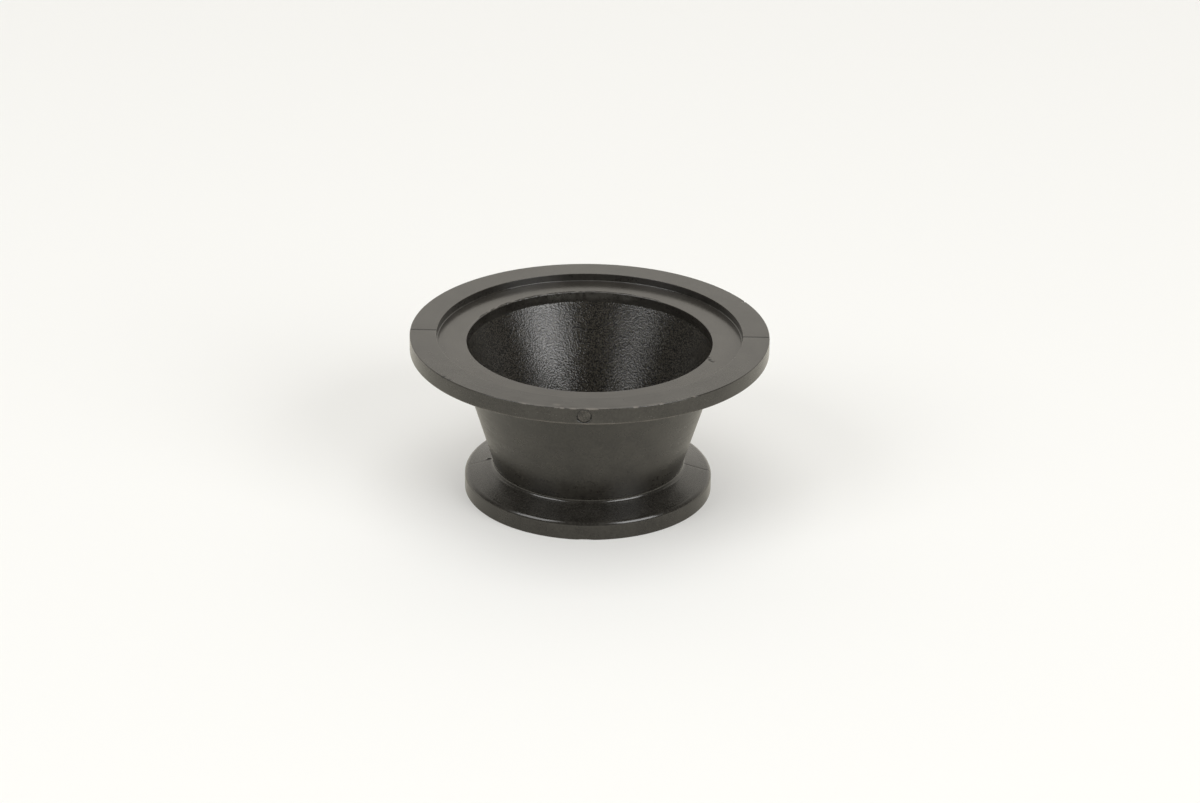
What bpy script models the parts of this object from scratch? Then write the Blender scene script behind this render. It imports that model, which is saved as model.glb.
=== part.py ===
"""Reducer flange: a moulded plastic fitting that joins a 3 in clamped pipe joint to a 2 in one.

Units are metres and +Z is up. The pipe axis is Z, the flange stands on its small end, and the
origin is the centre of the small end's face. The mould parted on the XZ plane, and the plastic
was fed in at the front of the large rim, at -Y.
"""

import math

import bmesh
import bpy

MM = 0.001

# Overall
FACE_TO_FACE = 52.1 * MM

# Large end, for 3 in pipe: the bore, the gasket seat's floor round it, the face ring round that
LARGE_BORE_DIA = 76.1 * MM
LARGE_SEAT_WIDTH = 9.35 * MM
LARGE_SEAT_DEPTH = 2.45 * MM
LARGE_FACE_WIDTH = 8.25 * MM
LARGE_RIM_WIDTH = 5.1 * MM
LARGE_LAND_LENGTH = 3.2 * MM

# Small end, for 2 in pipe, built up from its bore in the same way
SMALL_BORE_DIA = 50.8 * MM
SMALL_SEAT_WIDTH = 6.6 * MM
SMALL_SEAT_DEPTH = 2.33 * MM
SMALL_FACE_WIDTH = 6.65 * MM
SMALL_RIM_WIDTH = 5.75 * MM
SMALL_LAND_LENGTH = 15.4 * MM

# Back faces that the clamps' wedge sides pull on, measured from the flange's own plane
CLAMP_FACE_ANGLE = math.radians(16.0)

# Neck: its wall beside each rim's back edge
NECK_WALL_AT_LARGE_RIM = 3.2 * MM
NECK_WALL_AT_SMALL_RIM = 3.15 * MM
NECK_FILLET = 1.5 * MM

# Edges
FACE_EDGE_RADIUS = 0.25 * MM
LARGE_BACK_EDGE_RADIUS = 0.5 * MM
SMALL_BACK_EDGE_RADIUS = 1.7 * MM
SEAT_EDGE_RADIUS = 0.15 * MM
SEAT_CORNER_RADIUS = 0.3 * MM
BORE_EDGE_RADIUS = 0.2 * MM
THROAT_RADIUS = 3.0 * MM

# Gate mark: the round scar on the rim, a groove about a stub that was cut off flush
GATE_MARK_MARGIN = 0.3 * MM
GATE_GROOVE_WIDTH = 0.45 * MM
GATE_GROOVE_DEPTH = 0.25 * MM

# Radii that follow from the bores
LARGE_SEAT_RADIUS = LARGE_BORE_DIA / 2 + LARGE_SEAT_WIDTH
LARGE_RIM_RADIUS = LARGE_SEAT_RADIUS + LARGE_FACE_WIDTH
SMALL_SEAT_RADIUS = SMALL_BORE_DIA / 2 + SMALL_SEAT_WIDTH
SMALL_RIM_RADIUS = SMALL_SEAT_RADIUS + SMALL_FACE_WIDTH

# Fineness of the round shapes
TURNED_SEGMENTS = 96
GATE_SEGMENTS = 32
ARC_STEP = math.radians(45.0)
SHARP_FROM = math.radians(46.0)

# Finish: glass-filled polypropylene, dyed black right through
PLASTIC_COLOUR = (0.026, 0.025, 0.023, 1.0)
PLASTIC_ROUGHNESS = 0.45


def clear_scene():
    for obj in list(bpy.data.objects):
        bpy.data.objects.remove(obj, do_unlink=True)


def black_polypropylene():
    material = bpy.data.materials.new("black_polypropylene")
    material.use_nodes = True
    shader = material.node_tree.nodes["Principled BSDF"]
    shader.inputs["Base Color"].default_value = PLASTIC_COLOUR
    shader.inputs["Metallic"].default_value = 0.0
    shader.inputs["Roughness"].default_value = PLASTIC_ROUGHNESS
    material.diffuse_color = PLASTIC_COLOUR
    return material


def where_cone_meets_neck(rim_radius, rim_z, away, neck):
    """The (radius, height) where a clamp face, from its rim's back edge, runs into the neck.

    away is +1 where the face rises towards the neck and -1 where it falls, and neck gives
    the neck's outer line as its radius at height zero and its slope.
    """
    neck_radius, neck_slope = neck
    rise = away * math.tan(CLAMP_FACE_ANGLE)
    radius = (neck_radius + neck_slope * (rim_z + rise * rim_radius)) / (1 + neck_slope * rise)
    return radius, rim_z + rise * (rim_radius - radius)


def outline_corners():
    """The half section's corners as (radius, height, rounding).

    They run down the outside, from the large face to the small one, and back up the bore.
    """
    large_rim_back = FACE_TO_FACE - LARGE_RIM_WIDTH
    large_seat_z = FACE_TO_FACE - LARGE_SEAT_DEPTH
    large_bore = LARGE_BORE_DIA / 2
    small_bore = SMALL_BORE_DIA / 2

    top_of_neck = large_bore + NECK_WALL_AT_LARGE_RIM
    foot_of_neck = small_bore + NECK_WALL_AT_SMALL_RIM
    neck_slope = (top_of_neck - foot_of_neck) / (large_rim_back - SMALL_RIM_WIDTH)
    neck = (foot_of_neck - neck_slope * SMALL_RIM_WIDTH, neck_slope)
    neck_top = where_cone_meets_neck(LARGE_RIM_RADIUS, large_rim_back, -1, neck)
    neck_foot = where_cone_meets_neck(SMALL_RIM_RADIUS, SMALL_RIM_WIDTH, 1, neck)

    return [
        (LARGE_RIM_RADIUS, FACE_TO_FACE, FACE_EDGE_RADIUS),
        (LARGE_RIM_RADIUS, large_rim_back, LARGE_BACK_EDGE_RADIUS),
        (*neck_top, NECK_FILLET),
        (*neck_foot, NECK_FILLET),
        (SMALL_RIM_RADIUS, SMALL_RIM_WIDTH, SMALL_BACK_EDGE_RADIUS),
        (SMALL_RIM_RADIUS, 0.0, FACE_EDGE_RADIUS),
        (SMALL_SEAT_RADIUS, 0.0, SEAT_EDGE_RADIUS),
        (SMALL_SEAT_RADIUS, SMALL_SEAT_DEPTH, SEAT_CORNER_RADIUS),
        (small_bore, SMALL_SEAT_DEPTH, BORE_EDGE_RADIUS),
        (small_bore, SMALL_SEAT_DEPTH + SMALL_LAND_LENGTH, THROAT_RADIUS),
        (large_bore, large_seat_z - LARGE_LAND_LENGTH, 0.0),
        (large_bore, large_seat_z, BORE_EDGE_RADIUS),
        (LARGE_SEAT_RADIUS, large_seat_z, SEAT_CORNER_RADIUS),
        (LARGE_SEAT_RADIUS, FACE_TO_FACE, SEAT_EDGE_RADIUS),
    ]


def rounded_corner(before, corner, after, radius):
    """Points of the arc that rounds a corner, or the corner itself where it stays sharp."""
    if radius == 0.0:
        return [corner]
    sides = []
    for end in (before, after):
        length = math.dist(corner, end)
        sides.append(((end[0] - corner[0]) / length, (end[1] - corner[1]) / length))
    (ax, ay), (bx, by) = sides
    opening = math.acos(ax * bx + ay * by)
    setback = radius / math.tan(opening / 2)
    reach = radius / math.sin(opening / 2)
    middle = math.hypot(ax + bx, ay + by)
    centre = (
        corner[0] + reach * (ax + bx) / middle,
        corner[1] + reach * (ay + by) / middle,
    )
    start = math.atan2(
        corner[1] + setback * ay - centre[1],
        corner[0] + setback * ax - centre[0],
    )
    turn = math.copysign(math.pi - opening, ay * bx - ax * by)
    steps = max(1, math.ceil(abs(turn) / ARC_STEP))
    angles = [start + turn * step / steps for step in range(steps + 1)]
    return [
        (centre[0] + radius * math.cos(angle), centre[1] + radius * math.sin(angle))
        for angle in angles
    ]


def outline():
    corners = outline_corners()
    points = []
    for index, (radius, height, rounding) in enumerate(corners):
        before = corners[index - 1][:2]
        after = corners[(index + 1) % len(corners)][:2]
        points.extend(rounded_corner(before, (radius, height), after, rounding))
    return points


def turned(name, points, segments):
    """A closed ring about Z, spun from its half section and shaded smooth between its edges."""
    shape = bmesh.new()
    section = [shape.verts.new((radius, 0.0, height)) for radius, height in points]
    edges = [
        shape.edges.new((start, end))
        for start, end in zip(section, section[1:] + section[:1])
    ]
    bmesh.ops.spin(
        shape,
        geom=section + edges,
        cent=(0.0, 0.0, 0.0),
        axis=(0.0, 0.0, 1.0),
        angle=math.tau,
        steps=segments,
        use_merge=True,
    )
    bmesh.ops.recalc_face_normals(shape, faces=shape.faces)
    mesh = bpy.data.meshes.new(name)
    shape.to_mesh(mesh)
    shape.free()
    mesh.shade_smooth()
    mesh.set_sharp_from_angle(angle=SHARP_FROM)

    obj = bpy.data.objects.new(name, mesh)
    bpy.context.scene.collection.objects.link(obj)
    return obj


def gate_groove_cutter():
    """A ring that lies along Y at the front of the large rim, sunk to the groove's depth."""
    outer = LARGE_RIM_WIDTH / 2 - GATE_MARK_MARGIN
    inner = outer - GATE_GROOVE_WIDTH
    stands_out = 2 * MM
    section = [
        (outer, stands_out),
        (outer, -GATE_GROOVE_DEPTH),
        (inner, -GATE_GROOVE_DEPTH),
        (inner, stands_out),
    ]
    cutter = turned("gate_groove_cutter", section, GATE_SEGMENTS)
    cutter.rotation_euler = (math.pi / 2, 0.0, 0.0)
    cutter.location = (0.0, -LARGE_RIM_RADIUS, FACE_TO_FACE - LARGE_RIM_WIDTH / 2)
    cutter.hide_render = True
    cutter.display_type = "WIRE"
    return cutter


def reducer_flange():
    flange = turned("reducer_flange", outline(), TURNED_SEGMENTS)
    groove = flange.modifiers.new("gate_groove", "BOOLEAN")
    groove.operation = "DIFFERENCE"
    groove.object = gate_groove_cutter()
    flange.data.materials.append(black_polypropylene())
    return flange


clear_scene()
reducer_flange()
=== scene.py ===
import math

import bpy
import numpy as np
from mathutils import Matrix, Vector


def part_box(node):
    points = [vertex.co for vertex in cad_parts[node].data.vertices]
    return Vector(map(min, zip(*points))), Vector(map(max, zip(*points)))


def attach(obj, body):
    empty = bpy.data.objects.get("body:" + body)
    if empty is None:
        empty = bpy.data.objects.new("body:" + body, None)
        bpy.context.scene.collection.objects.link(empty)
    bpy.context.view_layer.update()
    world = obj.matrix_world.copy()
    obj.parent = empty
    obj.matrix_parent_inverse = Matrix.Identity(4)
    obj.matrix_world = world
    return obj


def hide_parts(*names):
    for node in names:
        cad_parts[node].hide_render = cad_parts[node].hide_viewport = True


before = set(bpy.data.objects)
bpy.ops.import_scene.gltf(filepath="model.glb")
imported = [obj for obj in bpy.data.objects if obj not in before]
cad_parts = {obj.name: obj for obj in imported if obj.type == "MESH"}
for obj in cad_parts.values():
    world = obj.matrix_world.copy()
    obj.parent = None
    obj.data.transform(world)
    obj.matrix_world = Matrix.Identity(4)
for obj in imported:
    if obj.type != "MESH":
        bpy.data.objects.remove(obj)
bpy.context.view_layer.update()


# The body.
# One injection moulding: a wide clamp flange over a conical neck and a small clamp flange that
# it stands on, open right through. Two side slides formed its outside and two cores its bores.

MM = 0.001
BODY_NODE = "reducer_flange"

body_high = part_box(BODY_NODE)[1]
HEIGHT = body_high.z / MM
LARGE_RIM_RADIUS = body_high.x / MM

LARGE_RIM_WIDTH = 5.1
LARGE_SEAT_RADIUS = 47.4
LARGE_SEAT_DEPTH = 2.45
LARGE_BORE_RADIUS = 38.05
LARGE_LAND_LENGTH = 3.2
SMALL_RIM_RADIUS = 38.65
SMALL_RIM_WIDTH = 5.75
SMALL_SEAT_RADIUS = 32.0
SMALL_SEAT_DEPTH = 2.33
SMALL_BORE_RADIUS = 25.4
SMALL_LAND_LENGTH = 15.4
CLAMP_FACE_SLOPE = math.tan(math.radians(16.0))
NECK_WALL_AT_LARGE_RIM = 3.2
NECK_WALL_AT_SMALL_RIM = 3.15

FACE_EDGE_RADIUS = 0.25
LARGE_BACK_EDGE_RADIUS = 0.5
SMALL_BACK_EDGE_RADIUS = 1.7
NECK_FILLET = 1.2
SEAT_EDGE_RADIUS = 0.15
SEAT_CORNER_RADIUS = 0.3
BORE_EDGE_RADIUS = 0.2
LAND_FOOT_RADIUS = 0.12
THROAT_RADIUS = 3.0

# How far apart the outline's points lie along the faces that need them close, in mm
POINT_SPACING = {
    "large_rim": 0.2,
    "small_back": 0.7,
    "small_rim": 0.4,
    "large_seat_floor": 0.75,
    "large_face": 0.65,
}
POINT_SPACING_ELSEWHERE = 6.0
FACE_END_SUPPORT = 0.12
ARC_STEP = math.radians(18.0)


def face_corners():
    """The half section's corners: radius, height, rounding, and the face that each one starts.

    They run down the outside, from the large face to the small one, and back up the bore.
    """
    large_back = HEIGHT - LARGE_RIM_WIDTH
    seat_floor = HEIGHT - LARGE_SEAT_DEPTH
    top_of_neck = LARGE_BORE_RADIUS + NECK_WALL_AT_LARGE_RIM
    foot_of_neck = SMALL_BORE_RADIUS + NECK_WALL_AT_SMALL_RIM
    slope = (top_of_neck - foot_of_neck) / (large_back - SMALL_RIM_WIDTH)
    axis_crossing = foot_of_neck - slope * SMALL_RIM_WIDTH

    def meets_neck(rim_radius, rim_z, rise):
        radius = (axis_crossing + slope * (rim_z + rise * rim_radius)) / (1 + slope * rise)
        return radius, rim_z + rise * (rim_radius - radius)

    neck_top = meets_neck(LARGE_RIM_RADIUS, large_back, -CLAMP_FACE_SLOPE)
    neck_foot = meets_neck(SMALL_RIM_RADIUS, SMALL_RIM_WIDTH, CLAMP_FACE_SLOPE)
    return [
        (LARGE_RIM_RADIUS, HEIGHT, FACE_EDGE_RADIUS, "large_rim"),
        (LARGE_RIM_RADIUS, large_back, LARGE_BACK_EDGE_RADIUS, "large_back"),
        (*neck_top, NECK_FILLET, "neck"),
        (*neck_foot, NECK_FILLET, "small_back"),
        (SMALL_RIM_RADIUS, SMALL_RIM_WIDTH, SMALL_BACK_EDGE_RADIUS, "small_rim"),
        (SMALL_RIM_RADIUS, 0.0, FACE_EDGE_RADIUS, "small_face"),
        (SMALL_SEAT_RADIUS, 0.0, SEAT_EDGE_RADIUS, "small_seat_wall"),
        (SMALL_SEAT_RADIUS, SMALL_SEAT_DEPTH, SEAT_CORNER_RADIUS, "small_seat_floor"),
        (SMALL_BORE_RADIUS, SMALL_SEAT_DEPTH, BORE_EDGE_RADIUS, "small_bore"),
        (SMALL_BORE_RADIUS, SMALL_SEAT_DEPTH + SMALL_LAND_LENGTH, THROAT_RADIUS, "cone"),
        (LARGE_BORE_RADIUS, seat_floor - LARGE_LAND_LENGTH, LAND_FOOT_RADIUS, "land"),
        (LARGE_BORE_RADIUS, seat_floor, BORE_EDGE_RADIUS, "large_seat_floor"),
        (LARGE_SEAT_RADIUS, seat_floor, SEAT_CORNER_RADIUS, "large_seat_wall"),
        (LARGE_SEAT_RADIUS, HEIGHT, SEAT_EDGE_RADIUS, "large_face"),
    ]


def rounded(before, corner, after, radius):
    """Points and outward normals along the arc that rounds a corner."""
    before, corner, after = (np.array(point, float) for point in (before, corner, after))
    to_before = (before - corner) / np.linalg.norm(before - corner)
    to_after = (after - corner) / np.linalg.norm(after - corner)
    half_opening = math.acos(float(to_before @ to_after)) / 2
    bisector = (to_before + to_after) / np.linalg.norm(to_before + to_after)
    centre = corner + bisector * radius / math.sin(half_opening)
    setback = radius / math.tan(half_opening)
    first = corner + to_before * setback - centre
    last = corner + to_after * setback - centre
    sweep = math.pi - 2 * half_opening
    steps = max(2, math.ceil(sweep / ARC_STEP))
    share = np.linspace(0.0, 1.0, steps + 1)[:, None]
    spokes = (np.sin((1 - share) * sweep) * first + np.sin(share * sweep) * last) / math.sin(sweep)
    # the outline keeps the plastic on its right, so an arc that turns right bulges outward
    turns_right = to_before[0] * to_after[1] - to_before[1] * to_after[0] > 0
    outward = 1.0 if turns_right else -1.0
    return centre + spokes, outward * spokes / radius


def outline():
    """Points, outward normals and face names all the way round the half section, in mm.

    A corner's arc goes under the name of the face that it starts, with the arc flagged.
    """
    corners = face_corners()
    arcs = [
        rounded(corners[i - 1][:2], corner[:2], corners[(i + 1) % len(corners)][:2], corner[2])
        for i, corner in enumerate(corners)
    ]
    points, normals, faces, on_arc = [], [], [], []
    for i, (arc_points, arc_normals) in enumerate(arcs):
        face = corners[i][3]
        points.extend(arc_points)
        normals.extend(arc_normals)
        faces.extend([face] * len(arc_points))
        on_arc.extend([True] * len(arc_points))
        start, end = arc_points[-1], arcs[(i + 1) % len(arcs)][0][0]
        length = float(np.linalg.norm(end - start))
        spacing = POINT_SPACING.get(face, POINT_SPACING_ELSEWHERE)
        count = max(1, round((length - 2 * FACE_END_SUPPORT) / spacing))
        for along in np.linspace(FACE_END_SUPPORT, length - FACE_END_SUPPORT, count + 1):
            points.append(start + (end - start) * along / length)
            normals.append(arc_normals[-1])
            faces.append(face)
            on_arc.append(False)
    return np.array(points), np.array(normals), np.array(faces), np.array(on_arc)


# Angles round the pipe axis are in degrees from the front, positive towards +X. Each row here
# is a stretch with marks on it: its middle, its half width and the spacing of its columns.
COLUMN_SPACING = 1.5
FINE_STRETCHES = [
    (0.0, 40.0, 0.5),
    (0.0, 8.0, 0.25),
    (0.0, 3.2, 0.12),
    (90.0, 0.6, 0.1),
    (-90.0, 0.6, 0.1),
    (-91.5, 1.5, 0.2),
    (120.0, 1.5, 0.25),
    (72.0, 3.0, 0.25),
    (-49.5, 2.4, 0.3),
    (-147.0, 30.0, 0.75),
]
CLOSEST_COLUMNS = 0.05


def columns():
    """The angles of the mesh's columns, closer together where there are marks."""
    angles = [np.arange(-180.0, 180.0, COLUMN_SPACING)]
    for middle, half_width, spacing in FINE_STRETCHES:
        angles.append(np.arange(middle - half_width, middle + half_width + spacing / 2, spacing))
    angles = np.unique(np.concatenate(angles))
    apart = np.concatenate([[True], np.diff(angles) > CLOSEST_COLUMNS])
    return angles[apart]


def ripple(angle, seed, waves, strength):
    """A smooth random wave round the axis that closes on itself, about zero."""
    dice = np.random.default_rng(seed)
    total = np.zeros_like(angle)
    for count in waves:
        total += np.sin(np.radians(angle) * count + dice.uniform(0.0, math.tau))
    return strength * total / math.sqrt(len(waves))


# The scar where the plastic was fed in: a stub cut off flush, with a groove about it.
# The groove and the stub's pits are painted dark as shade, the stub's peaks pale as highlight.
GATE_ABOVE_RIM_MIDDLE = 0.15
GATE_HEIGHT = HEIGHT - LARGE_RIM_WIDTH / 2 + GATE_ABOVE_RIM_MIDDLE
GATE_GROOVE_RADIUS = 2.12
GATE_GROOVE_WANDER = 0.05
GATE_GROOVE_WIDTH = 0.2
GATE_GROOVE_DEPTH = 0.42
# the groove is cut deepest and painted darkest at the bottom, where the cutter dug in most:
# the share of that depth and shade that is left at the top
GATE_CUT_AT_TOP = 0.42
GATE_CUT_RAGGEDNESS = 0.35
GATE_STUB_EDGE = 0.3
GATE_STUB_SINK = 0.05
# how strongly painted shade darkens the stub's pits and painted highlight pales its peaks
STUB_PIT_SHADE = 0.5
STUB_PEAK_HIGHLIGHT = 0.3
GATE_STUB_TEAR_DEPTH = 0.07
TORN_CONTRAST = 1.6


def gate_mark(angle, height):
    """Depth, the painted shade in the groove and the stub's pits, and the painted highlight on the
    stub's peaks.
    """
    across = np.radians(angle) * LARGE_RIM_RADIUS
    up = height - GATE_HEIGHT
    away = np.hypot(across, up)
    turn = np.degrees(np.arctan2(across, up))
    ragged = GATE_GROOVE_RADIUS + ripple(turn, 3, (2, 3, 5, 7), GATE_GROOVE_WANDER)
    lower_side = 0.5 - 0.5 * np.clip(up / GATE_GROOVE_RADIUS, -1.0, 1.0)
    cut = GATE_CUT_AT_TOP + (1 - GATE_CUT_AT_TOP) * lower_side
    cut = cut * (1 + ripple(turn, 4, (5, 9, 14), GATE_CUT_RAGGEDNESS))
    groove = np.clip(cut, 0.0, 1.3) * np.exp(-(((away - ragged) / GATE_GROOVE_WIDTH) ** 2))
    stub = np.clip((ragged - away) / GATE_STUB_EDGE, 0.0, 1.0)
    # two bent waves of about 0.8 mm, one across and one up, for the way the plastic tore
    torn_across = np.sin(across * 7.3 + 1.6 * np.sin(up * 6.1))
    torn_up = np.sin(up * 8.2 + 1.4 * np.sin(across * 5.9))
    torn = torn_across * torn_up
    hollow = GATE_STUB_SINK + GATE_STUB_TEAR_DEPTH * (0.5 - 0.5 * torn)
    pits = STUB_PIT_SHADE * stub * np.clip(-torn * TORN_CONTRAST, 0.0, 1.0)
    peaks = STUB_PEAK_HIGHLIGHT * stub * np.clip(torn * TORN_CONTRAST, 0.0, 1.0)
    depth = -GATE_GROOVE_DEPTH * groove - stub * hollow
    return depth, np.clip(groove + pits, 0.0, 1.0), peaks


# Where the two side slides met, a hairline on the outside faces with painted shade in it:
# how strong it is on each, at the left and at the right
PARTING_SIDES = (-90.0, 90.0)
PARTING_STRENGTH = {
    "large_face": (1.0, 1.0),
    "large_rim": (0.5, 0.5),
    "large_back": (0.5, 0.5),
    "neck": (0.15, 0.15),
    "small_back": (0.18, 0.4),
    "small_rim": (0.2, 0.3),
    "small_face": (0.3, 0.3),
}
PARTING_GROOVE_WIDTH = 0.24
PARTING_GROOVE_DEPTH = 0.15
PARTING_STEP = 0.035
PARTING_STEP_WIDTH = 0.08
PARTING_STEP_REACH = 2.5


def parting_line(angle, radius, strength):
    """Depth, and how much painted shade darkens the hairline, from its strength at either side."""
    depth = np.zeros_like(angle)
    dark = np.zeros_like(angle)
    for side, strong in zip(PARTING_SIDES, strength):
        across = np.radians(angle - side) * radius
        near = strong * np.exp(-((across / PARTING_GROOVE_WIDTH) ** 2))
        past = across * math.copysign(1.0, side) / PARTING_STEP_WIDTH
        shoulder = 0.5 * (1 + np.tanh(past))
        fade = strong * np.exp(-((across / PARTING_STEP_REACH) ** 2))
        depth -= PARTING_GROOVE_DEPTH * near + PARTING_STEP * shoulder * fade
        dark += near
    return depth, dark


# A tag of flash that the slides left on that line, in the corner at the neck's foot; the tag
# is painted dark as shade
FLASH_ANGLE = -91.5
FLASH_RADIUS = 31.2
FLASH_HEIGHT = 0.3
FLASH_WIDTH = 0.35
FLASH_LENGTH = 0.6


def foot_flash(angle, radius):
    """How far the tag stands out, and how much painted shade darkens it."""
    across = np.radians(angle - FLASH_ANGLE) * radius
    outward = radius - FLASH_RADIUS
    tag = np.exp(-((across / FLASH_WIDTH) ** 2) - (outward / FLASH_LENGTH) ** 2)
    return FLASH_HEIGHT * tag, tag


# Knocks along the large flange's top outer edge: angle, half width along the edge, depth, and
# how far the knock whitened the plastic, or below zero how dark the knock is painted
RIM_CHIPS = [
    (-19.1, 0.9, 0.06, 0.7),
    (-8.6, 0.8, 0.10, 0.5),
    (-6.9, 0.7, 0.22, 1.0),
    (-3.4, 1.1, 0.20, 1.0),
    (2.2, 2.2, 0.05, 0.9),
    (15.9, 0.7, 0.08, 1.0),
    (24.4, 0.6, 0.10, 0.9),
    (36.0, 0.5, 0.10, 0.7),
    (-50.9, 0.5, 0.12, -0.9),
    (-48.0, 0.4, 0.10, -0.9),
    (120.0, 0.5, 0.40, 0.0),
]
CHIP_REACH_ON_FACE = 0.6
CHIP_REACH_ON_RIM = 0.25


def rim_chips(angle, radius, height):
    """Depth of the knocks, and how pale and how dark they are."""
    from_edge = np.hypot(
        (LARGE_RIM_RADIUS - radius) / CHIP_REACH_ON_FACE, (HEIGHT - height) / CHIP_REACH_ON_RIM
    )
    near_edge = np.exp(-(from_edge**2))
    depth = np.zeros_like(angle * radius)
    pale = np.zeros_like(depth)
    dark = np.zeros_like(depth)
    for middle, half_width, deep, whitened in RIM_CHIPS:
        across = np.radians(angle - middle) * LARGE_RIM_RADIUS
        here = np.exp(-((across / half_width) ** 4)) * near_edge
        depth -= deep * here
        pale = np.maximum(pale, whitened * here)
        dark = np.maximum(dark, -whitened * here)
    return depth, pale, dark


# Both edges of the large rim are painted pale at the front, in patches: partly a painted
# highlight along each edge, partly rubbing where the gate was trimmed
RUBBED_HALF_ANGLE = 34.0
RUBBED_REACH = 0.22
RUBBED_REACH_ON_FACE = 0.5
RUBBED_REACH_ON_RIM = 0.1
RUBBED_TOP = 0.35
RUBBED_TOP_MEAN = 0.7
RUBBED_TOP_PATCHINESS = 0.8
RUBBED_TOP_MOST = 1.6
RUBBED_BOTTOM = 0.5
RUBBED_BOTTOM_MEAN = 1.0
RUBBED_BOTTOM_PATCHINESS = 0.35
RUBBED_BOTTOM_MOST = 1.5
RUBBED_BOTTOM_RISE = 0.15


def edge_highlights_and_rubbing(angle, radius, height):
    """How pale each point is painted, in patches along both edges: painted highlight with rubbing.
    """
    spread = np.exp(-((angle / RUBBED_HALF_ANGLE) ** 4))
    outer = np.exp(-(((LARGE_RIM_RADIUS - radius) / RUBBED_REACH) ** 2))
    inward = (LARGE_RIM_RADIUS - radius) / RUBBED_REACH_ON_FACE
    downward = (HEIGHT - height) / RUBBED_REACH_ON_RIM
    top = np.exp(-(inward**2) - downward**2)
    bottom_height = HEIGHT - LARGE_RIM_WIDTH + RUBBED_BOTTOM_RISE
    bottom = np.exp(-(((bottom_height - height) / RUBBED_REACH) ** 2)) * outer
    top_wear = RUBBED_TOP_MEAN + ripple(angle, 11, (17, 29, 43, 71), RUBBED_TOP_PATCHINESS)
    top_wear = np.clip(top_wear, 0.0, RUBBED_TOP_MOST)
    bottom_wear = RUBBED_BOTTOM_MEAN + ripple(
        angle, 12, (11, 19, 37, 53), RUBBED_BOTTOM_PATCHINESS
    )
    bottom_wear = np.clip(bottom_wear, 0.0, RUBBED_BOTTOM_MOST)
    return spread * (RUBBED_TOP * top_wear * top + RUBBED_BOTTOM * bottom_wear * bottom)


# A pale scuff on the large face, just behind its front edge
SCUFF_ANGLE = -8.9
SCUFF_RADIUS = 53.7
SCUFF_HALF_LENGTH = 1.1
SCUFF_HALF_WIDTH = 0.3


def face_scuff(angle, radius):
    """How pale the scuff left each point of the face."""
    across = np.radians(angle - SCUFF_ANGLE) * SCUFF_RADIUS
    outward = radius - SCUFF_RADIUS
    return np.exp(-((across / SCUFF_HALF_LENGTH) ** 4) - (outward / SCUFF_HALF_WIDTH) ** 2)


# The foot's own scar: a shallow bite out of the small flange's bottom edge, at the front
FOOT_BITE_MIDDLE = 0.5
FOOT_BITE_HALF_WIDTH = 2.0
FOOT_BITE_DEPTH = 0.16
FOOT_BITE_REACH = 0.6


def foot_bite(angle, radius, height):
    """Depth of the bite."""
    across = np.radians(angle - FOOT_BITE_MIDDLE) * SMALL_RIM_RADIUS
    from_edge = np.hypot(SMALL_RIM_RADIUS - radius, height)
    return (
        -FOOT_BITE_DEPTH
        * np.exp(-((across / FOOT_BITE_HALF_WIDTH) ** 6))
        * np.exp(-((from_edge / FOOT_BITE_REACH) ** 2))
    )


# A ragged burr that the core left about the large bore's edge, most of it at the back left
BURR_MIDDLE = -158.0
BURR_HALF_ANGLE = 52.0
BURR_HEIGHT = 0.22
BURR_MEAN = 0.4
BURR_RAGGEDNESS = 0.6
BURR_HIGHEST = 1.3


def bore_burr(angle):
    """How far the burr stands out round the edge."""
    from_middle = (angle - BURR_MIDDLE + 180.0) % 360.0 - 180.0
    spread = np.exp(-((from_middle / BURR_HALF_ANGLE) ** 6))
    ragged = BURR_MEAN + ripple(angle, 21, (23, 41, 67, 97, 131), BURR_RAGGEDNESS)
    return BURR_HEIGHT * spread * np.clip(ragged, 0.0, BURR_HIGHEST)


# A hooked nick in the gasket seat beside the large bore, painted dark as the shade in it, as
# (angle, radius) along its stroke
SEAT_NICK = [(73.9, 38.3), (72.6, 38.9), (71.2, 39.2), (70.2, 40.1), (69.9, 40.8)]
SEAT_NICK_WIDTH = 0.22
SEAT_NICK_DEPTH = 0.16


def seat_nick(angle, radius):
    """Depth of the nick, from each point's distance to its stroke."""
    x = radius * np.cos(np.radians(angle))
    y = radius * np.sin(np.radians(angle))
    stroke = [
        (r * math.cos(math.radians(a)), r * math.sin(math.radians(a))) for a, r in SEAT_NICK
    ]
    nearest = np.full(np.broadcast(x, y).shape, np.inf)
    for (ax, ay), (bx, by) in zip(stroke, stroke[1:]):
        length2 = (bx - ax) ** 2 + (by - ay) ** 2
        along = np.clip(((x - ax) * (bx - ax) + (y - ay) * (by - ay)) / length2, 0.0, 1.0)
        away = np.hypot(x - ax - along * (bx - ax), y - ay - along * (by - ay))
        nearest = np.minimum(nearest, away)
    return -SEAT_NICK_DEPTH * np.exp(-((nearest / SEAT_NICK_WIDTH) ** 2))


# The gasket seat is painted a shade paler than the face round it, and its top edge paler
# still, as a painted highlight along that edge
SEAT_PALENESS = 0.06
SEAT_EDGE_HIGHLIGHT = 0.14

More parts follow.
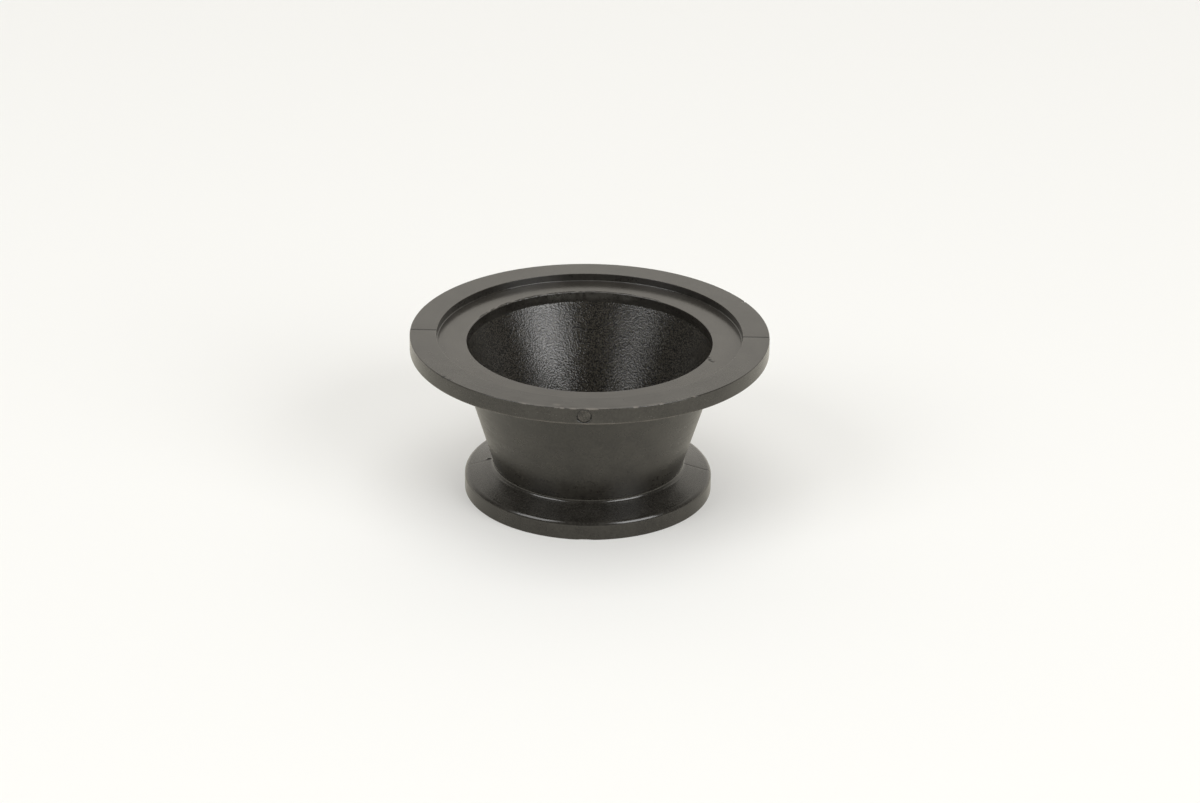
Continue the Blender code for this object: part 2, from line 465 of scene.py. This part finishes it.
# How rough each face was moulded. The slides that formed the neck and the clamp faces were
# blasted to a fine matt, the rims and flat faces come off turned steel, and the fillets are
# burnished by their cutters.
FACE_ROUGHNESS = {
    "large_rim": 0.24,
    "large_back": 0.34,
    "neck": 0.32,
    "small_back": 0.27,
    "large_seat_floor": 0.18,
    "large_seat_wall": 0.32,
    "land": 0.3,
}
ROUGHNESS_ELSEWHERE = 0.19
FILLET_ROUGHNESS = {"small_back": 0.17, "small_rim": 0.19}
FILLET_ROUGHNESS_ELSEWHERE = 0.17
SKIN_BUMP = {"neck": 0.45, "small_back": 0.22, "large_back": 0.3}
SKIN_BUMP_ELSEWHERE = 0.04
# the large face and its seat are handled most at the front, which dulls them there
FRONT_WEAR = 0.16
FRONT_WEAR_HALF_ANGLE = 60.0
GRAINED_FACES = ["cone"]


def moulded_body():
    points, normals, faces, on_arc = outline()
    angles = columns()
    radius, height = points[:, 0][:, None], points[:, 1][:, None]
    angle = angles[None, :]

    depth = np.zeros((len(points), len(angles)))
    # This mask gathers painted shade, near black, for the gate's groove, the parting hairline, the
    # flash tag, the dark knocks and the seat's nick.
    groove = np.zeros_like(depth)
    pale = np.zeros_like(depth)
    rim = np.isin(faces, ["large_rim"])
    cut, groove[rim], pale[rim] = gate_mark(angle, height[rim])
    depth[rim] += cut
    every_angle = np.broadcast_to(angle, depth.shape)
    strength = np.array([PARTING_STRENGTH.get(face, (0.0, 0.0)) for face in faces]).T[:, :, None]
    cut, dark = parting_line(every_angle, radius, strength)
    depth += cut
    groove = np.maximum(groove, dark)
    corner = np.isin(faces, ["neck", "small_back"])
    raised, dark = foot_flash(angle, radius[corner])
    depth[corner] += raised
    groove[corner] = np.maximum(groove[corner], dark)
    about_edge = np.isin(faces, ["large_rim", "large_face", "large_back"])
    chipped, whitened, dark = rim_chips(angle, radius[about_edge], height[about_edge])
    depth[about_edge] += chipped
    groove[about_edge] = np.maximum(groove[about_edge], dark)
    # the rim's edges are painted pale here, partly as highlight and partly as rubbing
    edge_paleness = edge_highlights_and_rubbing(angle, radius[about_edge], height[about_edge])
    pale[about_edge] = np.maximum(pale[about_edge], np.maximum(whitened, edge_paleness))
    flat = np.isin(faces, ["large_face"])
    pale[flat] = np.maximum(pale[flat], face_scuff(angle, radius[flat]))
    foot = np.isin(faces, ["small_rim", "small_face"])
    depth[foot] += foot_bite(angle, radius[foot], height[foot])
    seat = np.isin(faces, ["large_seat_floor"])
    nick = seat_nick(angle, radius[seat])
    depth[seat] += nick
    # the nick is painted dark as shade, in step with its depth
    groove[seat] = np.clip(-nick / SEAT_NICK_DEPTH, 0.0, 1.0)
    pale[seat] = SEAT_PALENESS
    depth[seat & on_arc] += bore_burr(angle)
    # a painted highlight along the seat's top edge
    pale[flat & on_arc] = SEAT_EDGE_HIGHLIGHT

    moved_radius = radius + depth * normals[:, 0][:, None]
    moved_height = height + depth * normals[:, 1][:, None]
    turn = np.radians(angle)
    verts = np.stack(
        [
            moved_radius * np.sin(turn),
            -moved_radius * np.cos(turn),
            moved_height * np.ones_like(turn),
        ],
        axis=-1,
    ).reshape(-1, 3) * MM

    rows, cols = len(points), len(angles)
    row, col = np.meshgrid(np.arange(rows), np.arange(cols), indexing="ij")
    next_row, next_col = (row + 1) % rows, (col + 1) % cols
    quads = np.stack(
        [
            row * cols + col,
            next_row * cols + col,
            next_row * cols + next_col,
            row * cols + next_col,
        ],
        axis=-1,
    ).reshape(-1, 4)

    mesh = bpy.data.meshes.new("moulded_body")
    mesh.from_pydata(verts.tolist(), [], quads.tolist())
    mesh.shade_smooth()
    grained = np.isin(faces, GRAINED_FACES)
    mesh.polygons.foreach_set("material_index", np.repeat(grained.astype(np.int32), cols))
    flat_polish = [FACE_ROUGHNESS.get(face, ROUGHNESS_ELSEWHERE) for face in faces]
    arc_polish = [FILLET_ROUGHNESS.get(face, FILLET_ROUGHNESS_ELSEWHERE) for face in faces]
    polish = np.where(on_arc, arc_polish, flat_polish)
    worn = FRONT_WEAR * np.exp(-((angle / FRONT_WEAR_HALF_ANGLE) ** 2))
    handled = np.isin(faces, ["large_face", "large_seat_floor"])
    painted = {
        "roughness": polish[:, None] + handled[:, None] * worn,
        "groove": groove,
        "pale": np.clip(pale, 0.0, 1.0),
        "skin": np.repeat([SKIN_BUMP.get(face, SKIN_BUMP_ELSEWHERE) for face in faces], cols),
    }
    for name, values in painted.items():
        layer = mesh.attributes.new(name, "FLOAT", "POINT")
        layer.data.foreach_set("value", values.astype(np.float32).ravel())
    mesh.update()
    obj = bpy.data.objects.new("moulded_body", mesh)
    bpy.context.scene.collection.objects.link(obj)
    return obj


def linear(hex_colour):
    """An sRGB hex colour as the linear RGBA that a shader takes."""
    channels = [int(hex_colour[i : i + 2], 16) / 255 for i in (1, 3, 5)]
    return (*[c / 12.92 if c <= 0.04045 else ((c + 0.055) / 1.055) ** 2.4 for c in channels], 1.0)


def add_node(tree, kind, inputs=None, **settings):
    """Adds a node, sets its properties, and gives each named input its value or its link."""
    node = tree.nodes.new(kind)
    for name, value in settings.items():
        setattr(node, name, value)
    for socket, value in (inputs or {}).items():
        if isinstance(value, bpy.types.NodeSocket):
            tree.links.new(value, node.inputs[socket])
        else:
            node.inputs[socket].default_value = value
    return node


def fresh_tree(owner):
    owner.use_nodes = True
    owner.node_tree.nodes.clear()
    return owner.node_tree


# Glass-filled polypropylene dyed with carbon black. Moulded against plain steel it takes a
# satin skin: the glass keeps it from gloss and the flow leaves it faintly cloudy. Where it is
# torn or rubbed the skin goes pale and dull. The same pale colour is painted on as highlight
# along the large rim's edges, the seat's top edge and the gate stub's peaks, and a near black
# is painted as shade into the grooves, the nick, the flash tag and the stub's pits.
POLYPROPYLENE = "#23211e"
POLYPROPYLENE_CLOUD = "#33312d"
# pale where torn or rubbed, and the colour of the painted highlights
POLYPROPYLENE_PALE_WEAR_AND_HIGHLIGHT = "#77716a"
# near black, painted where shade falls in grooves and hollows
POLYPROPYLENE_PAINTED_SHADE = "#0d0b08"
POLYPROPYLENE_IOR = 1.57
TORN_ROUGHNESS = 0.55
GROOVE_ROUGHNESS = 1.0
CLOUD_SIZE = 7.0
CLOUD_RANGE = (0.38, 0.62)
FLECK_SIZE = 0.8
FLECK_SHARE_IN_CLOUD = 0.45
STREAK_WIDTH = 0.9
STREAKS_PER_RADIAN = 4.0
STREAK_SHARE_IN_SHEEN = 0.5
SHEEN_RANGE = (0.3, 0.7)
SHEEN_VARIES = (0.75, 1.25)
SKIN_DEPTH = 0.06


def turning_streaks(tree, in_mm):
    """Noise drawn out round the pipe axis, as the turned steel left it."""
    x, y, z = add_node(tree, "ShaderNodeSeparateXYZ", {0: in_mm}).outputs
    flat = add_node(tree, "ShaderNodeCombineXYZ", {"X": x, "Y": y}).outputs[0]
    radius = add_node(tree, "ShaderNodeVectorMath", {0: flat}, operation="LENGTH").outputs["Value"]
    outward = add_node(tree, "ShaderNodeVectorMath", {0: flat}, operation="NORMALIZE").outputs[0]
    around = add_node(
        tree, "ShaderNodeVectorMath", {0: outward, "Scale": STREAKS_PER_RADIAN}, operation="SCALE"
    ).outputs[0]
    across = add_node(
        tree, "ShaderNodeMath", {0: radius, 1: 1 / STREAK_WIDTH}, operation="MULTIPLY"
    ).outputs[0]
    across = add_node(tree, "ShaderNodeCombineXYZ", {"Z": across}).outputs[0]
    place = add_node(
        tree, "ShaderNodeVectorMath", {0: around, 1: across}, operation="ADD"
    ).outputs[0]
    down = add_node(
        tree, "ShaderNodeMath", {0: z, 1: 1 / STREAK_WIDTH}, operation="MULTIPLY"
    ).outputs[0]
    return add_node(
        tree,
        "ShaderNodeTexNoise",
        {"Vector": place, "W": down, "Scale": 1.0, "Detail": 2.0},
        noise_dimensions="4D",
    ).outputs["Fac"]


def satin_polypropylene():
    material = bpy.data.materials.new("satin_black_polypropylene")
    tree = fresh_tree(material)
    painted = {
        name: add_node(tree, "ShaderNodeAttribute", attribute_name=name).outputs["Fac"]
        for name in ("roughness", "groove", "pale", "skin")
    }
    place = add_node(tree, "ShaderNodeTexCoord").outputs["Object"]
    in_mm = add_node(
        tree, "ShaderNodeVectorMath", {0: place, "Scale": 1 / MM}, operation="SCALE"
    ).outputs[0]
    cloud = add_node(
        tree,
        "ShaderNodeTexNoise",
        {"Vector": in_mm, "Scale": 1 / CLOUD_SIZE, "Detail": 4.0, "Roughness": 0.65},
    ).outputs["Fac"]
    fleck = add_node(
        tree,
        "ShaderNodeTexNoise",
        {"Vector": in_mm, "Scale": 1 / FLECK_SIZE, "Detail": 2.0, "Roughness": 0.5},
    ).outputs["Fac"]
    cloud = add_node(
        tree,
        "ShaderNodeMix",
        {"Factor": FLECK_SHARE_IN_CLOUD, 2: cloud, 3: fleck},
        data_type="FLOAT",
    ).outputs[0]
    low, high = CLOUD_RANGE
    cloud = add_node(
        tree, "ShaderNodeMapRange", {"Value": cloud, "From Min": low, "From Max": high}
    ).outputs[0]
    streak = turning_streaks(tree, in_mm)

    # the cloud is the plastic's own random tone; the pale share is wear together with painted
    # highlight, and the last share paints shade into grooves and hollows
    colour = linear(POLYPROPYLENE)
    for share, other in (
        (cloud, POLYPROPYLENE_CLOUD),
        (painted["pale"], POLYPROPYLENE_PALE_WEAR_AND_HIGHLIGHT),
        (painted["groove"], POLYPROPYLENE_PAINTED_SHADE),
    ):
        colour = add_node(
            tree, "ShaderNodeMix", {"Factor": share, 6: colour, 7: linear(other)}, data_type="RGBA"
        ).outputs[2]

    mottled = add_node(
        tree,
        "ShaderNodeMix",
        {"Factor": STREAK_SHARE_IN_SHEEN, 2: fleck, 3: streak},
        data_type="FLOAT",
    ).outputs[0]
    low, high = SHEEN_RANGE
    least, most = SHEEN_VARIES
    flecked = add_node(
        tree,
        "ShaderNodeMapRange",
        {
            "Value": mottled,
            "From Min": low,
            "From Max": high,
            "To Min": least,
            "To Max": most,
        },
    ).outputs[0]
    sheen = add_node(
        tree, "ShaderNodeMath", {0: painted["roughness"], 1: flecked}, operation="MULTIPLY"
    ).outputs[0]
    for share, roughness in (
        (painted["pale"], TORN_ROUGHNESS),
        (painted["groove"], GROOVE_ROUGHNESS),
    ):
        sheen = add_node(
            tree, "ShaderNodeMapRange", {"Value": share, "To Min": sheen, "To Max": roughness}
        ).outputs[0]
    skin = add_node(
        tree,
        "ShaderNodeBump",
        {"Height": fleck, "Strength": painted["skin"], "Distance": SKIN_DEPTH * MM},
    ).outputs[0]
    shader = add_node(
        tree,
        "ShaderNodeBsdfPrincipled",
        {"Base Color": colour, "Roughness": sheen, "IOR": POLYPROPYLENE_IOR, "Normal": skin},
    )
    add_node(tree, "ShaderNodeOutputMaterial", {"Surface": shader.outputs[0]})
    return material


# The same plastic against a spark-eroded core: the cone takes its pitted grain, which scatters
# a lamp into sparkle, and its pits are painted darker as the shade in them. Real grains are
# about 0.3 mm, drawn at 0.45 mm so that they show.
CORE_GRAIN = 0.45
GRAIN_DEPTH = 0.13
GRAIN_RANGE = (0.4, 0.6)
# near black, painted into the grain's pits as shade
GRAIN_PIT_SHADE = "#080706"
GRAIN_PEAK = "#38352f"
GRAIN_PIT_ROUGHNESS = 0.22
GRAIN_PEAK_ROUGHNESS = 0.09


def grained_polypropylene():
    material = bpy.data.materials.new("grained_black_polypropylene")
    tree = fresh_tree(material)
    place = add_node(tree, "ShaderNodeTexCoord").outputs["Object"]
    in_mm = add_node(
        tree, "ShaderNodeVectorMath", {0: place, "Scale": 1 / MM}, operation="SCALE"
    ).outputs[0]
    grain = add_node(
        tree,
        "ShaderNodeTexNoise",
        {"Vector": in_mm, "Scale": 1 / CORE_GRAIN, "Detail": 1.0, "Roughness": 0.5},
    ).outputs["Fac"]
    pits = add_node(
        tree, "ShaderNodeBump", {"Height": grain, "Strength": 1.0, "Distance": GRAIN_DEPTH * MM}
    ).outputs[0]
    low, high = GRAIN_RANGE
    peaks = add_node(
        tree, "ShaderNodeMapRange", {"Value": grain, "From Min": low, "From Max": high}
    ).outputs[0]
    # the colour darkens from peak to pit as painted shade
    colour = add_node(
        tree,
        "ShaderNodeMix",
        {"Factor": peaks, 6: linear(GRAIN_PIT_SHADE), 7: linear(GRAIN_PEAK)},
        data_type="RGBA",
    ).outputs[2]
    sheen = add_node(
        tree,
        "ShaderNodeMapRange",
        {"Value": peaks, "To Min": GRAIN_PIT_ROUGHNESS, "To Max": GRAIN_PEAK_ROUGHNESS},
    ).outputs[0]
    shader = add_node(
        tree,
        "ShaderNodeBsdfPrincipled",
        {
            "Base Color": colour,
            "Roughness": sheen,
            "IOR": POLYPROPYLENE_IOR,
            "Normal": pits,
        },
    )
    add_node(tree, "ShaderNodeOutputMaterial", {"Surface": shader.outputs[0]})
    return material


body = moulded_body()
body.data.materials.append(satin_polypropylene())
body.data.materials.append(grained_polypropylene())
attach(body, "root")
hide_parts(BODY_NODE)


# The floor.
# A shooting table of white acrylic with a little light in it, so that the flange's soft shadow
# stays pale, and warmer in what the flange mirrors. From underneath it is left clear for the
# eye, so that the small end can be seen.

FLOOR_HALF_WIDTH = 4.0
ACRYLIC_LIT = "#c6c6c4"
ACRYLIC_MIRRORED = "#c4c2b8"
ACRYLIC_GLOW = 0.32
WARM_WHITE = "#f9f8f5"
WARMER_WHITE = "#faf4e7"


def lit_acrylic():
    material = bpy.data.materials.new("lit_white_acrylic")
    tree = fresh_tree(material)
    to_camera = add_node(tree, "ShaderNodeLightPath").outputs["Is Camera Ray"]
    sheet_white, glow_white = (
        add_node(
            tree,
            "ShaderNodeMix",
            {"Factor": to_camera, 6: linear(mirrored), 7: linear(seen)},
            data_type="RGBA",
        ).outputs[2]
        for mirrored, seen in ((ACRYLIC_MIRRORED, ACRYLIC_LIT), (WARMER_WHITE, WARM_WHITE))
    )
    sheet = add_node(tree, "ShaderNodeBsdfDiffuse", {"Color": sheet_white}).outputs[0]
    glow = add_node(
        tree, "ShaderNodeEmission", {"Color": glow_white, "Strength": ACRYLIC_GLOW}
    ).outputs[0]
    sheet = add_node(tree, "ShaderNodeAddShader", {0: sheet, 1: glow}).outputs[0]
    clear = add_node(tree, "ShaderNodeBsdfTransparent").outputs[0]
    from_below = add_node(tree, "ShaderNodeNewGeometry").outputs["Backfacing"]
    both = add_node(
        tree, "ShaderNodeMath", {0: to_camera, 1: from_below}, operation="MULTIPLY"
    ).outputs[0]
    seen = add_node(tree, "ShaderNodeMixShader", {0: both, 1: sheet, 2: clear}).outputs[0]
    add_node(tree, "ShaderNodeOutputMaterial", {"Surface": seen})
    return material


def floor_sheet():
    mesh = bpy.data.meshes.new("floor")
    w = FLOOR_HALF_WIDTH
    mesh.from_pydata([(-w, -w, 0.0), (w, -w, 0.0), (w, w, 0.0), (-w, w, 0.0)], [], [(0, 1, 2, 3)])
    obj = bpy.data.objects.new("floor", mesh)
    bpy.context.scene.collection.objects.link(obj)
    obj.data.materials.append(lit_acrylic())
    return obj


floor_sheet()


# The light.
# A white backdrop behind the flange and a dim room behind the camera, with a bright softbox at
# the front right, a weaker and higher one at the front left, and a soft one overhead.

BACKDROP_LEVEL = 1.08
# how far towards the back, as the Y of a direction, the backdrop begins and is full
BACKDROP_BEGINS = 0.1
BACKDROP_FULL = 0.8
ROOM_LEVEL = 0.13
SEEN_LEVEL = 0.965
STUDIO_WHITE = "#f9f4ea"


def studio_world():
    world = bpy.data.worlds.new("studio")
    bpy.context.scene.world = world
    tree = fresh_tree(world)
    direction = add_node(tree, "ShaderNodeTexCoord").outputs["Generated"]
    towards_back = add_node(tree, "ShaderNodeSeparateXYZ", {0: direction}).outputs["Y"]
    level = add_node(
        tree,
        "ShaderNodeMapRange",
        {
            "Value": towards_back,
            "From Min": BACKDROP_BEGINS,
            "From Max": BACKDROP_FULL,
            "To Min": ROOM_LEVEL,
            "To Max": BACKDROP_LEVEL,
        },
        interpolation_type="SMOOTHSTEP",
    ).outputs[0]
    to_camera = add_node(tree, "ShaderNodeLightPath").outputs["Is Camera Ray"]
    lights = add_node(
        tree, "ShaderNodeBackground", {"Color": linear(STUDIO_WHITE), "Strength": level}
    ).outputs[0]
    seen = add_node(
        tree, "ShaderNodeBackground", {"Color": linear(WARM_WHITE), "Strength": SEEN_LEVEL}
    ).outputs[0]
    either = add_node(
        tree, "ShaderNodeMixShader", {0: to_camera, 1: lights, 2: seen}
    ).outputs[0]
    add_node(tree, "ShaderNodeOutputWorld", {"Surface": either})


SOFTBOX_DISTANCE = 3.0


def softbox(name, azimuth, elevation, width, height, radiance):
    """An oblong lamp that faces the flange, its sizes in metres.

    Azimuth is in degrees from the front, towards +X, and radiance is in watts per square
    metre and steradian.
    """
    lamp = bpy.data.lights.new(name, "AREA")
    lamp.shape = "RECTANGLE"
    lamp.size, lamp.size_y = width, height
    lamp.energy = radiance * math.pi * width * height
    obj = bpy.data.objects.new(name, lamp)
    bpy.context.scene.collection.objects.link(obj)
    a, e = math.radians(azimuth), math.radians(elevation)
    obj.location = (
        SOFTBOX_DISTANCE * math.sin(a) * math.cos(e),
        -SOFTBOX_DISTANCE * math.cos(a) * math.cos(e),
        SOFTBOX_DISTANCE * math.sin(e),
    )
    obj.rotation_euler = (math.pi / 2 - e, 0.0, a)


studio_world()
softbox("key_softbox", azimuth=49.5, elevation=31.0, width=1.85, height=1.7, radiance=5.4)
softbox("fill_softbox", azimuth=-53.5, elevation=40.0, width=1.65, height=1.7, radiance=4.0)
softbox("top_softbox", azimuth=0.0, elevation=90.0, width=2.4, height=2.4, radiance=2.2)


# The camera.
# The photograph's own view, found from the flange's circles: a long lens a little over a metre
# away, looking down and tipped slightly, from a shade right of the mould's own front.

CAMERA_AZIMUTH = math.radians(1.2)
CAMERA_ELEVATION = math.radians(24.786)
CAMERA_ROLL = math.radians(0.815)
CAMERA_PLACE = (0.02675, -1.11105, 0.54213)
PHOTO_WIDTH_PX = 1200
FOCAL_LENGTH_PX = 3927.3
SENSOR_WIDTH = 36.0

lens = bpy.data.cameras.new("camera")
lens.sensor_fit = "HORIZONTAL"
lens.sensor_width = SENSOR_WIDTH
lens.lens = SENSOR_WIDTH * FOCAL_LENGTH_PX / PHOTO_WIDTH_PX
camera = bpy.data.objects.new("camera", lens)
bpy.context.scene.collection.objects.link(camera)
camera.rotation_mode = "XYZ"
camera.location = CAMERA_PLACE
bpy.context.scene.camera = camera


def aim(azimuth, elevation, roll):
    """The camera's rotation matrix: its own X, Y and Z axes as columns."""
    back = Vector(
        (
            math.sin(azimuth) * math.cos(elevation),
            -math.cos(azimuth) * math.cos(elevation),
            math.sin(elevation),
        )
    )
    right = Vector((math.cos(azimuth), math.sin(azimuth), 0.0))
    up = back.cross(right)
    across = right * math.cos(roll) + up * math.sin(roll)
    upward = up * math.cos(roll) - right * math.sin(roll)
    return Matrix((across, upward, back)).transposed()


camera.rotation_euler = aim(CAMERA_AZIMUTH, CAMERA_ELEVATION, CAMERA_ROLL).to_euler()

scene = bpy.context.scene
scene.view_settings.view_transform = "Standard"
